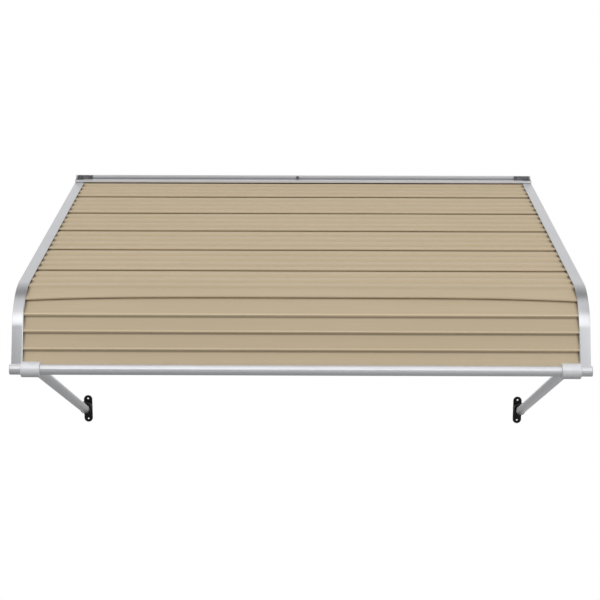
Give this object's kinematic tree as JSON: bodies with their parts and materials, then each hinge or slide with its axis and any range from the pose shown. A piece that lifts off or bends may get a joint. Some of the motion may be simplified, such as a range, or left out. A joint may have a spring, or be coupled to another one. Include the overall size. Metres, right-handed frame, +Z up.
{
  "type": "door canopy",
  "caption": "Solid door canopy: bent clapboard sheet roof between two bent side rafters, a wall header, a round front bar and two tube struts down to wall sockets.",
  "frame": {"origin": "centre of the wall header's back face, on the wall", "axes": "+X to the right seen from in front, +Y into the wall, +Z up; the canopy stands out along -Y"},
  "size_m": [1.391, 1.0979, 0.7789],
  "materials": {
    "mill_aluminium": "satin natural aluminium",
    "bronze_sheet": "satin tan-bronze coated sheet",
    "grey_steel": "dark galvanised steel",
    "screw_steel": "plain steel",
    "black_cast": "satin black moulding"
  },
  "bodies": {
    "root": {"wall_header": "mill_aluminium", "slat_1": "bronze_sheet", "slat_2": "bronze_sheet", "slat_3": "bronze_sheet", "slat_4": "bronze_sheet", "slat_5": "bronze_sheet", "slat_6": "bronze_sheet", "slat_7": "bronze_sheet", "front_bar": "mill_aluminium", "rafter_left": "mill_aluminium", "header_bracket_left": "grey_steel", "bar_collar_left": "mill_aluminium", "bar_plug_left": "mill_aluminium", "strut_left": "mill_aluminium", "wall_socket_left": "black_cast", "rafter_right": "mill_aluminium", "header_bracket_right": "grey_steel", "bar_collar_right": "mill_aluminium", "bar_plug_right": "mill_aluminium", "strut_right": "mill_aluminium", "wall_socket_right": "black_cast", "header_screw_left": "screw_steel", "header_screw_centre": "screw_steel", "header_screw_right": "screw_steel", "rafter_screw_left": "screw_steel", "bar_screw_left": "screw_steel", "collar_screw_left": "screw_steel", "slat_screw_1_left": "screw_steel", "slat_screw_2_left": "screw_steel", "slat_screw_3_left": "screw_steel", "slat_screw_4_left": "screw_steel", "slat_screw_5_left": "screw_steel", "slat_screw_6_left": "screw_steel", "slat_screw_7_left": "screw_steel", "rafter_screw_right": "screw_steel", "bar_screw_right": "screw_steel", "collar_screw_right": "screw_steel", "slat_screw_1_right": "screw_steel", "slat_screw_2_right": "screw_steel", "slat_screw_3_right": "screw_steel", "slat_screw_4_right": "screw_steel", "slat_screw_5_right": "screw_steel", "slat_screw_6_right": "screw_steel", "slat_screw_7_right": "screw_steel"}
  },
  "joints": []
}
